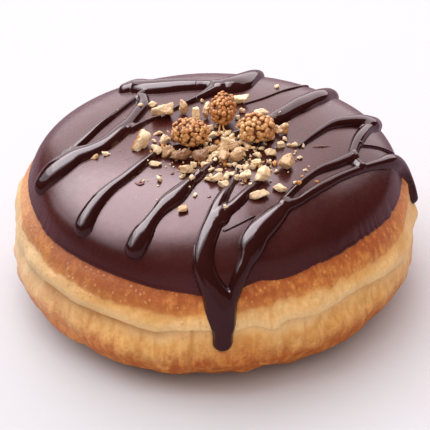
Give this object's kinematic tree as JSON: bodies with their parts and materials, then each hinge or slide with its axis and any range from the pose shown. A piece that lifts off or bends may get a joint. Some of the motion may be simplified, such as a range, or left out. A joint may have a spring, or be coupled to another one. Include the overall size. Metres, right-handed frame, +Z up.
{
  "type": "boston cream doughnut",
  "caption": "Round filled yeast doughnut with a dark chocolate glaze over its crown, piped chocolate strands running over the side, chopped nuts and dried mulberries on top.",
  "frame": {"origin": "middle of the outline on the surface that the doughnut stands on", "axes": "+Z up out of the glazed crown, -Y towards the front, where the thick strand runs down the side"},
  "size_m": [0.0936, 0.0924, 0.0481],
  "materials": {
    "dough": "soft fried yeast dough, browned above and below and pale round the side",
    "chocolate": "set dark chocolate glaze, glossy",
    "dried_fruit": "dull dried fruit, knobbly"
  },
  "bodies": {
    "root": {"dough_bun": "dough", "chocolate_glaze": "chocolate", "dried_mulberry_1": "dried_fruit", "dried_mulberry_2": "dried_fruit", "dried_mulberry_3": "dried_fruit"}
  },
  "joints": []
}
